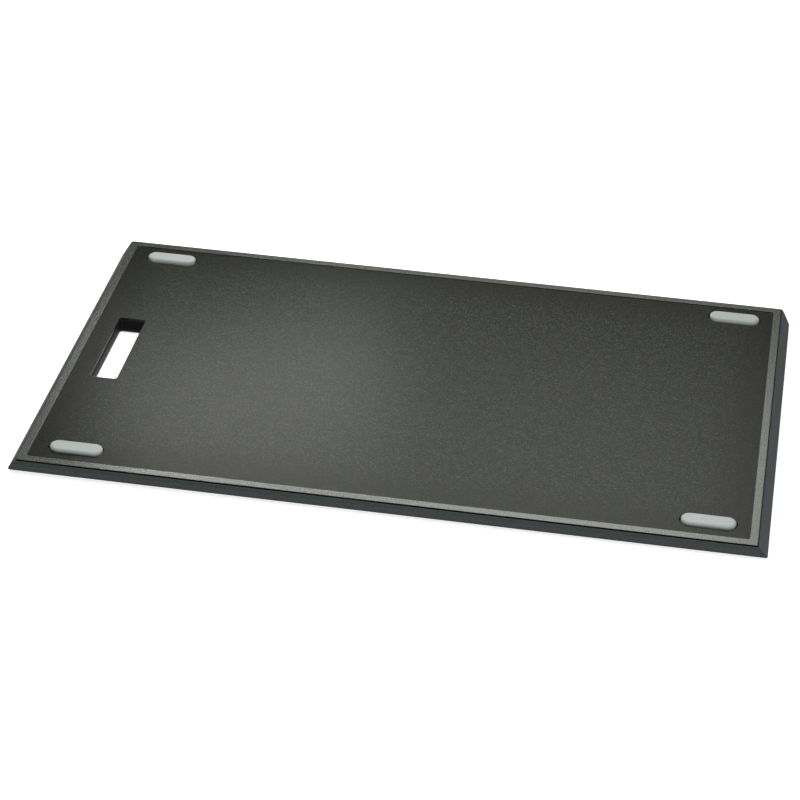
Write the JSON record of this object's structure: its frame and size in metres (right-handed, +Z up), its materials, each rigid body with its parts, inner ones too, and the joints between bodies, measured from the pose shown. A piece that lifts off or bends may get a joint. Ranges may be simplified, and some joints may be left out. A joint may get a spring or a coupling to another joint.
{
  "type": "cutting board",
  "caption": "Reversible kitchen cutting board with a raised rim strip, recessed cutting surface, end handle slot, sloping edges and soft corner pads on both faces.",
  "frame": {"origin": "under the middle of the board, on the surface that the lower pads stand on", "axes": "+X along the long side, away from the handle slot; -Y towards the front edge; +Z up"},
  "size_m": [0.5, 0.3058, 0.0158],
  "materials": {
    "core": "fine satin grain, cool charcoal",
    "panel": "fine matt grain on the cutting surface, coarser and paler on the rim strip, warm charcoal",
    "pad": "smooth soft satin, light cool grey"
  },
  "bodies": {
    "root": {"core": "core", "upper_panel": "panel", "lower_panel": "panel", "upper_pad_front_left": "pad", "upper_pad_front_right": "pad", "upper_pad_rear_left": "pad", "upper_pad_rear_right": "pad", "lower_pad_front_left": "pad", "lower_pad_front_right": "pad", "lower_pad_rear_left": "pad", "lower_pad_rear_right": "pad"}
  },
  "joints": []
}
